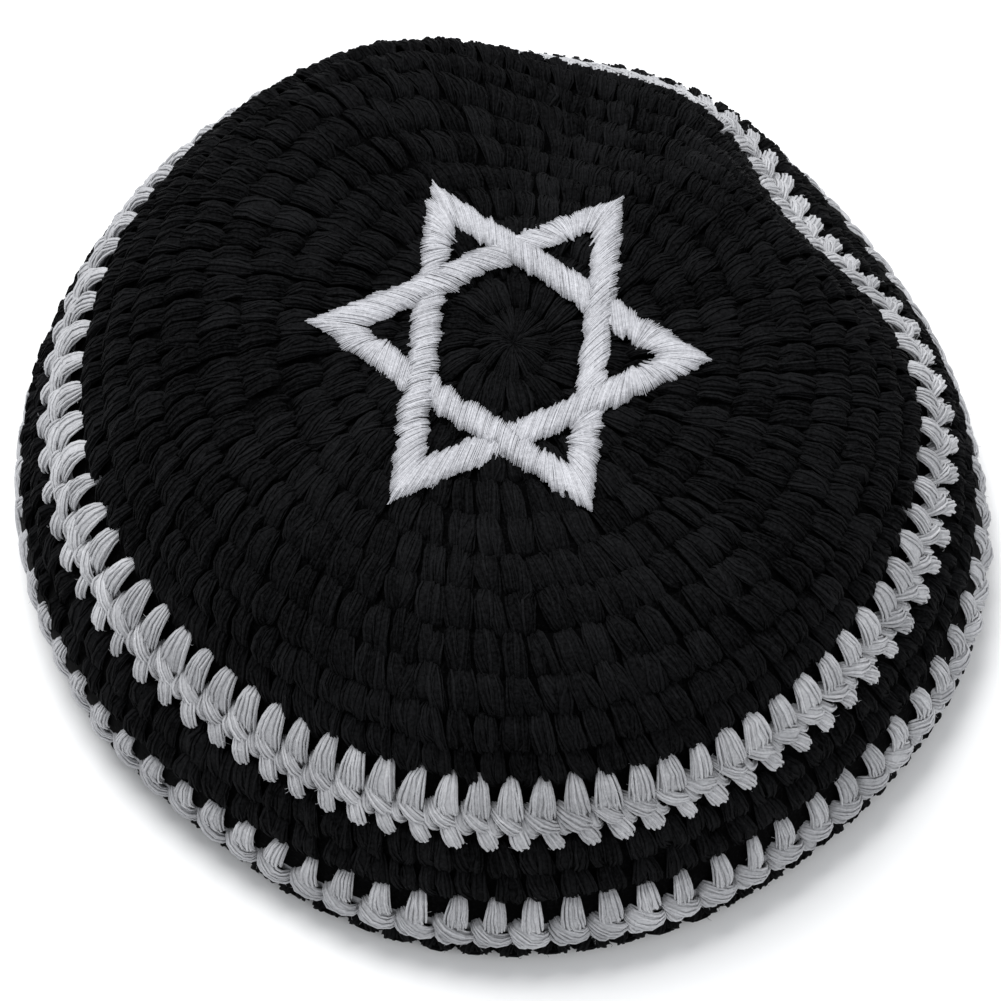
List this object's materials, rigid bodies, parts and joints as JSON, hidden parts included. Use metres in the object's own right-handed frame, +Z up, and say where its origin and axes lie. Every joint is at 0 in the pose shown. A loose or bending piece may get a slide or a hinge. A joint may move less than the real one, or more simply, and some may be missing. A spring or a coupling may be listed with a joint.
{
  "type": "crocheted kippah skullcap",
  "caption": "Round crocheted cotton skullcap lying dome up on its rim, with grey stripe rounds near the edge and an embroidered star on the crown; worn on the crown of the head.",
  "frame": {"origin": "middle of the cap's box, on the surface that the rim rests on", "axes": "+Z up through the crown, -Y towards the front of the picture, +X to the picture's right"},
  "size_m": [0.1844, 0.1852, 0.0683],
  "materials": {
    "black_yarn": "matte black cotton crochet yarn",
    "grey_yarn": "matte light grey cotton crochet yarn",
    "star_thread": "silver-white embroidery thread with a soft sheen"
  },
  "bodies": {
    "root": {"crown": "black_yarn", "upper_stripe": "grey_yarn", "band": "black_yarn", "lower_stripe": "grey_yarn", "edge": "black_yarn", "star": "star_thread"}
  },
  "joints": []
}
